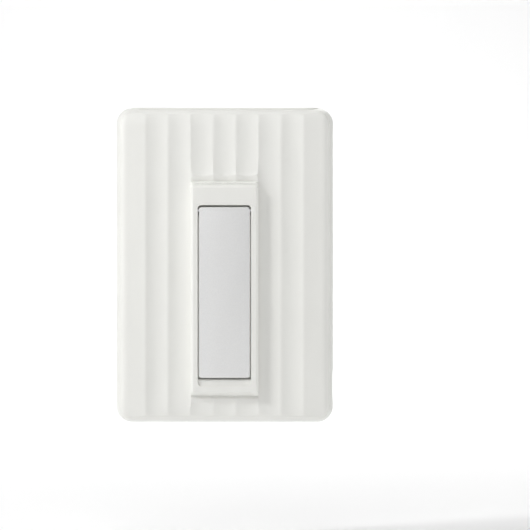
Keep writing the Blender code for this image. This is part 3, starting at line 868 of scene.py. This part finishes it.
leg_rows = [(0.2, LEG_Y), (0.11, LEG_Y + 0.025), (0.03, LEG_Y + 0.11), (0.0, LEG_Y + 0.22),
            (0.0, LEG_BACK_Y - 0.12), (0.04, LEG_BACK_Y - 0.03), (0.12, LEG_BACK_Y)]
leg = loft("stand_leg_skin", [level("Y", leg_outline(inset), y) for inset, y in leg_rows])
relief_rows = [(LEG_BACK_Y - 0.28, -0.14), (LEG_BACK_Y - 0.14, 0.0), (LEG_BACK_Y + 1, 0.0)]
relief_cut = loft("leg_relief", [level("Y", relief_outline(grow), y) for y, grow in relief_rows])
combine(leg, relief_cut)
barrel_end = leg_high.x - 0.2
barrel = loft("barrel", [level("X", shifted(circle(BARREL_R - e, 48), HINGE_Y, HINGE_Z), x)
                         for x, e in eased_rows(-barrel_end, barrel_end, 0.1)])
combine(leg, barrel, operation="UNION", sharp=28)
bore = prism("barrel_bore", shifted(circle(BORE_R, 40), HINGE_Y, HINGE_Z), "X", leg_low.x - 1, leg_high.x + 1)
combine(leg, bore, sharp=28)
show(leg, "stand", "leg_aluminium", leg_skin, "stand_leg")

pin = loft("hinge_pin_skin", [level("X", shifted(circle(PIN_R - e, 40), HINGE_Y, HINGE_Z), x)
                              for x, e in eased_rows(pin_low.x, pin_high.x, 0.1)])
show(pin, "stand", "pin_steel", pin_skin, "hinge_pin")


SPRING_THICK = 0.22
SPRING_BOW = 0.32
SCREW_HEAD = ((0.45, 0.0), (0.68, 0.07), (0.75, 0.18))     # (radius, how far below its top)
CROSS = (0.8, 0.18, 0.16)      # cross slot in a screw's head: length, width, depth


def leaf_side():
    """Side view of the friction spring: flat under its screws, then bowed up to the barrel."""
    line = []
    for share in steps_of(24):
        bow = ease((share - 0.35) / 0.5)
        tip = ease((share - 0.86) / 0.14)
        y = spring_high.y - SPRING_THICK - SPRING_BOW * bow * (1 - 0.6 * tip)
        line.append((y, between(spring_low.z, spring_high.z, share)))
    return line + [(y + SPRING_THICK, z) for y, z in reversed(line)]


leaf = prism("friction_spring_skin", leaf_side(), "X", spring_low.x, spring_high.x, 40)
show(leaf, "bank", "spring_steel", spring_skin, "friction_spring")
for number in (1, 2):
    low, high = span(f"spring_screw_{number}")
    x, z = (low.x + high.x) / 2, (low.z + high.z) / 2
    head_y = low.y + 0.12
    rows = [(radius, head_y + deep) for radius, deep in SCREW_HEAD] + [(SCREW_HEAD[-1][0], high.y + 0.06)]
    head = loft(f"spring_screw_{number}_skin", [level("Y", shifted(circle(r, 32), x, z), y) for r, y in rows])
    slots = [prism(name, shifted(rounded(*size, 0.04, 2), x, z), "Y", head_y - 1, head_y + CROSS[2])
             for name, size in (("slot_a", CROSS[:2]), ("slot_b", CROSS[1::-1]))]
    combine(head, *slots)
    show(head, "bank", "screw_steel", screw_skin, f"spring_screw_{number}")


# ---------------------------------------------------------------- port and key

bezel_rows = [(bezel_low.x, 0.0), (bezel_high.x - 0.12, 0.0),
              (bezel_high.x - 0.03, 0.03), (bezel_high.x, 0.12)]
BEZEL = (bezel_high.z - bezel_low.z, bezel_high.y - bezel_low.y)
BEZEL_HOLE = (9.1, 3.42)
bezel = hoop("port_bezel_skin", (
    [level("X", tall_pill(*BEZEL, PORT_Z)(-e), x) for x, e in bezel_rows]
    + [level("X", tall_pill(*BEZEL_HOLE, PORT_Z)(e), x) for x, e in reversed(bezel_rows)]))
show(bezel, "bank", "bezel_white", bezel_skin, "port_bezel")

USB = (usb_high.z - usb_low.z, usb_high.y - usb_low.y)
USB_WALL = 0.3
USB_FLOOR = 1.3
mouth_rows = [(usb_low.x, 0.0), (usb_high.x - 0.12, 0.0), (usb_high.x - 0.03, 0.04), (usb_high.x, 0.1)]
usb_body = loft("usb_c_shell_skin", [level("X", tall_pill(*USB, PORT_Z)(-e), x) for x, e in mouth_rows])
usb_bore = flared("usb_bore", tall_pill(USB[0] - 2 * USB_WALL, USB[1] - 2 * USB_WALL, PORT_Z), "X",
                  usb_low.x + USB_FLOOR, usb_high.x, 0.3, 0.1)
combine(usb_body, usb_bore)
show(usb_body, "bank", "port_steel", port_skin, "usb_c_shell")

tongue_low, tongue_high = span("usb_c_tongue")
tongue_line = rounded(tongue_high.x - tongue_low.x, tongue_high.z - tongue_low.z, 0.5)
tongue_middle = ((tongue_high.x + tongue_low.x) / 2, PORT_Z)
tongue_half = (tongue_high.y - tongue_low.y) / 2
tongue_levels = []
for y, e in eased_rows(-tongue_half, tongue_half, 0.08):
    drawn_in = [(u * (1 - e / 3), v * (1 - e / 4)) for u, v in tongue_line]
    tongue_levels.append(level("Y", shifted(drawn_in, *tongue_middle), SEAM_Y + y))
tongue = loft("usb_c_tongue_skin", tongue_levels)
show(tongue, "bank", "black_plastic", black_skin, "usb_c_tongue")
CONTACTS = 12
CONTACT_PITCH = 0.5
CONTACT = (2.6, 0.26)          # length and width
CONTACT_HALF = 0.02            # half its thickness
for side, side_name in ((-1, "back"), (1, "front")):
    y = SEAM_Y + side * (tongue_half + CONTACT_HALF / 2)
    for number in range(CONTACTS):
        z = PORT_Z + (number - (CONTACTS - 1) / 2) * CONTACT_PITCH
        strip = shifted(rounded(*CONTACT, 0.06, 3), tongue_high.x - 2.0, z)
        blade = prism(f"contact_{side_name}_{number + 1:02d}", strip, "Y", y - CONTACT_HALF, y + CONTACT_HALF)
        show(blade, "bank", "port_steel", gold_skin)

KEY_GAP = 0.14
KEY_CROWN = 0.3
KEY_RIM = (0.55, 0.45)         # inner rim that holds the key in its hole: how far out, how thick
rim_x = key_high.x - KEY_RIM[1]
key_rows = [(key_high.x, KEY_RIM[0]), (rim_x, KEY_RIM[0]), (rim_x, -KEY_GAP)]
for share in steps_of(6):
    angle = share * math.pi / 2
    crown_x = key_low.x + KEY_CROWN * (1 - math.sin(angle))
    key_rows.append((crown_x, -KEY_GAP - KEY_CROWN * (1 - math.cos(angle))))
key = loft("power_key_skin", [level("X", key_outline(grow), x) for x, grow in key_rows])
show(key, "key", "key_white", key_skin, "power_key")


# ---------------------------------------------------------------- the pieces inside

def circuit_board(name):
    """Solder mask with faint copper runs under it."""
    nodes = Nodes(name)
    runs = nodes.add("ShaderNodeTexBrick")
    runs.inputs["Scale"].default_value = 1 / (2.4 * MM)
    runs.inputs["Color1"].default_value = (0.012, 0.085, 0.04, 1)
    runs.inputs["Color2"].default_value = (0.016, 0.105, 0.05, 1)
    runs.inputs["Mortar"].default_value = (0.03, 0.17, 0.08, 1)
    runs.inputs["Mortar Size"].default_value = 0.05
    nodes.link(nodes.place, runs.inputs["Vector"])
    nodes.link(runs.outputs["Color"], nodes.shader.inputs["Base Color"])
    nodes.rough(nodes.noise(1.0), 0.3, 0.45)
    nodes.bump(runs.outputs["Fac"], 0.02)
    return nodes.made


def crinkled_foil(name):
    nodes = Nodes(name)
    nodes.shader.inputs["Metallic"].default_value = 0.8
    folds = nodes.noise(6.0, 5.0)
    nodes.colour(nodes.ranged(folds, 0.0, 1.0), (0.5, 0.51, 0.53), (0.66, 0.67, 0.69))
    nodes.rough(folds, 0.28, 0.42)
    nodes.bump(folds, 0.08)
    return nodes.made


INNER_SKINS = {
    "board_green": circuit_board("solder_mask"),
    "cell_foil": crinkled_foil("pouch_foil"),
    "foam_black": moulded("foam_tape", (0.03, 0.03, 0.035), (0.8, 0.95), 0.5, 0.05, 0.2, 0.2),
    "frame_plastic": moulded("frame_abs", (0.15, 0.15, 0.16), (0.5, 0.62), 0.4, 0.01, 0.06),
    "black_plastic": black_skin,
    "lead_red": moulded("red_insulation", (0.55, 0.03, 0.03), (0.32, 0.42), 0.6, 0.004, 0.05),
    "lead_black": moulded("black_insulation", (0.03, 0.03, 0.035), (0.32, 0.42), 0.6, 0.004, 0.05),
    "ferrite_grey": moulded("sintered_ferrite", (0.1, 0.1, 0.11), (0.5, 0.7), 0.25, 0.02, 0.15),
    "capacitor_ceramic": moulded("capacitor_ceramic", (0.5, 0.36, 0.23), (0.35, 0.5), 0.2, 0.006, 0.08),
    "flex_amber": moulded("polyimide_film", (0.5, 0.22, 0.03), (0.2, 0.32), 0.8, 0.004, 0.08, 0.6),
    "graphite": moulded("graphite_sheet", (0.1, 0.1, 0.11), (0.35, 0.5), 0.5, 0.008, 0.12),
    "coil_copper": rolled_metal("litz_copper", (0.72, 0.36, 0.2), (0.25, 0.4), (9.0, 1.0, 9.0), 0.02),
    "yoke_steel": rolled_metal("yoke_steel", (0.5, 0.5, 0.51)),
    "magnet_nickel": rolled_metal("nickel_plate", (0.62, 0.61, 0.59), (0.12, 0.24), (1.0, 1.0, 1.0), 0.002),
    "led_body": moulded("led_phosphor", (0.8, 0.74, 0.42), (0.3, 0.4), 0.15, 0.004, 0.05),
    "port_steel": port_skin,
    "screw_steel": screw_skin,
}

node_slots = {part["node"]: part["material_slot"] for part in frame["record"]["subparts"]}
for node, obj in frame["nodes"].items():
    skin = INNER_SKINS.get(node_slots[node])
    if skin and not obj.hide_render:
        obj.data.materials.clear()
        obj.data.materials.append(skin)


# ---------------------------------------------------------------- studio

STAGE_GLOW = 0.08
WORLD_GLOW = 0.10


def studio_material():
    made = bpy.data.materials.new("studio_white")
    made.use_nodes = True
    shader = made.node_tree.nodes["Principled BSDF"]
    shader.inputs["Base Color"].default_value = (0.93, 0.93, 0.93, 1)
    shader.inputs["Roughness"].default_value = 0.9
    shader.inputs["Specular IOR Level"].default_value = 0.0
    shader.inputs["Emission Color"].default_value = (1, 1, 1, 1)
    shader.inputs["Emission Strength"].default_value = STAGE_GLOW
    return made


STAGE_DEPTH = (-9000.0, 1250.0)
STAGE_BEND = 500.0
STAGE_HIGH = 1800.0
STAGE_FLOOR = -40.0           # the floor lies a little lower, so that the lower edge stays lit
STAGE_HALF = 6000.0
stage_line = [(STAGE_DEPTH[0], STAGE_FLOOR), (STAGE_DEPTH[1], STAGE_FLOOR)]
stage_line += [(STAGE_DEPTH[1] + STAGE_BEND * math.sin(a), STAGE_FLOOR + STAGE_BEND * (1 - math.cos(a)))
               for a in (math.pi / 2 * s for s in steps_of(20)[1:])]
stage_line.append((STAGE_DEPTH[1] + STAGE_BEND, STAGE_HIGH))
stage_bm = bmesh.new()
sides = [[stage_bm.verts.new((x, y, z)) for y, z in stage_line] for x in (-STAGE_HALF, STAGE_HALF)]
for i in range(len(stage_line) - 1):
    stage_bm.faces.new((sides[0][i], sides[1][i], sides[1][i + 1], sides[0][i + 1]))
floor = finish_mesh("studio_floor", stage_bm)
floor.data.materials.append(studio_material())


def area_light(name, place, target, size, power, spread=180):
    lamp = bpy.data.lights.new(name, "AREA")
    lamp.shape = "DISK"
    lamp.size = size
    lamp.energy = power
    lamp.spread = math.radians(spread)
    made = bpy.data.objects.new(name, lamp)
    made.location = place
    made.rotation_euler = (Vector(target) - Vector(place)).to_track_quat("-Z", "Y").to_euler()
    bpy.context.scene.collection.objects.link(made)
    return made


def sky_panel(name, strength, angle):
    """Even soft light from above, as from a large ceiling panel."""
    lamp = bpy.data.lights.new(name, "SUN")
    lamp.energy = strength
    lamp.angle = math.radians(angle)
    made = bpy.data.objects.new(name, lamp)
    bpy.context.scene.collection.objects.link(made)
    return made


# Places in metres, then target, size in metres and power in watts. Two keys stand high on the left; the
# others fill in from the right, the front and behind, and light the backdrop.
bank_middle = (0, 0, HALF_H * MM)
area_light("key_light", (-0.95, -0.62, 0.80), bank_middle, 0.22, 6.3)
area_light("low_key_light", (-1.18, -0.45, 0.62), bank_middle, 0.22, 3.2)
sky_panel("top_light", 0.9, 60)
area_light("edge_light", (1.25, -0.05, 0.15), bank_middle, 0.5, 3.4)
area_light("near_light", (-0.05, -0.40, 0.40), bank_middle, 0.25, 0.43)
area_light("front_light", (-0.2, -1.30, 0.50), bank_middle, 0.7, 0.6)
area_light("rear_light", (0.3, 1.15, 1.00), bank_middle, 0.7, 3.6)
area_light("backdrop_light", (0.0, 0.80, 1.30), (0.0, 1.50, 0.0), 0.7, 4.0, 120)
world = bpy.data.worlds.new("studio")
world.use_nodes = True
world.node_tree.nodes["Background"].inputs["Color"].default_value = (1, 1, 1, 1)
world.node_tree.nodes["Background"].inputs["Strength"].default_value = WORLD_GLOW
bpy.context.scene.world = world
bpy.context.scene.view_settings.view_transform = "Standard"

# The long lens keeps the back nearly free of perspective
LENS = 200.0
SENSOR = 36.0
FRAME_WIDE = 172.9             # what the frame takes in at the bank
ASIDE = 13.2                   # the bank stands this far left of the frame's middle
distance = FRAME_WIDE * LENS / SENSOR
lens = bpy.data.cameras.new("camera")
lens.lens = LENS
lens.sensor_width = SENSOR
camera = bpy.data.objects.new("camera", lens)
camera.location = Vector((ASIDE, RIDGE_Y - distance, HALF_H)) * MM
camera.rotation_euler = (math.pi / 2, 0, 0)
bpy.context.scene.collection.objects.link(camera)
bpy.context.scene.camera = camera
